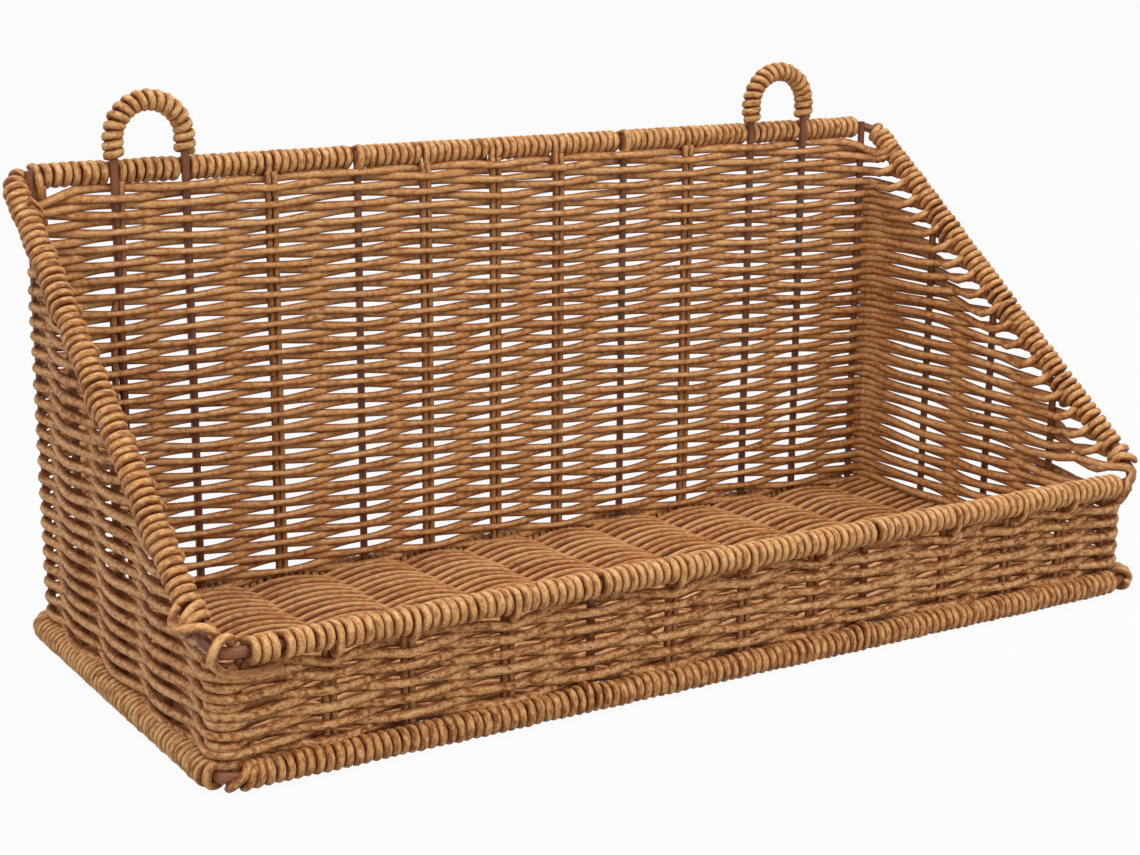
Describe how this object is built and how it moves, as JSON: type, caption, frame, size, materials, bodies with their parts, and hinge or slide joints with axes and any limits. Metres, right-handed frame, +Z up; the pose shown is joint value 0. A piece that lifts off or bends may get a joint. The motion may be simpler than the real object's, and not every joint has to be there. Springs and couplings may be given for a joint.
{
  "type": "wall basket",
  "caption": "Woven wall basket with a low front, sloping sides, a cord-wrapped wire frame and wrapped hanging loops on its back rim.",
  "frame": {"origin": "under the middle of the basket, on the level that it stands on", "axes": "+X along the length, to the right seen from the open front; +Y towards the wall behind it; +Z up"},
  "size_m": [0.3994, 0.1784, 0.1986],
  "materials": {
    "coated_wire": "satin brown coating",
    "binding_cord": "mottled, matte to satin",
    "stake_cord": "mottled, matte to satin",
    "woven_cord": "mottled, matte to satin"
  },
  "bodies": {
    "root": {"rim_wire": "coated_wire", "base_wire": "coated_wire", "hanging_loop_wire_left": "coated_wire", "hanging_loop_wire_right": "coated_wire", "wire_rib_1": "coated_wire", "wire_rib_2": "coated_wire", "corner_post_back_left": "coated_wire", "corner_post_back_right": "coated_wire", "corner_post_front_left": "coated_wire", "corner_post_front_right": "coated_wire", "side_stake_left_1": "coated_wire", "side_stake_left_2": "coated_wire", "side_stake_left_3": "coated_wire", "side_stake_right_1": "coated_wire", "side_stake_right_2": "coated_wire", "side_stake_right_3": "coated_wire", "rim_binding_back": "binding_cord", "rim_binding_front": "binding_cord", "rim_binding_left": "binding_cord", "rim_binding_right": "binding_cord", "base_binding_back": "binding_cord", "base_binding_front": "binding_cord", "base_binding_left": "binding_cord", "base_binding_right": "binding_cord", "hanging_loop_winding_left": "binding_cord", "hanging_loop_winding_right": "binding_cord", "cord_rib_1": "stake_cord", "cord_rib_2": "stake_cord", "cord_rib_3": "stake_cord", "cord_rib_4": "stake_cord", "cord_rib_5": "stake_cord", "outer_cord_rib_1": "stake_cord", "outer_cord_rib_2": "stake_cord", "outer_cord_rib_3": "stake_cord", "outer_cord_rib_4": "stake_cord", "single_cord_stake": "stake_cord", "corner_cord_stake": "stake_cord", "woven_back": "woven_cord", "woven_front": "woven_cord", "woven_side_left": "woven_cord", "woven_side_right": "woven_cord", "woven_floor": "woven_cord"}
  },
  "joints": []
}
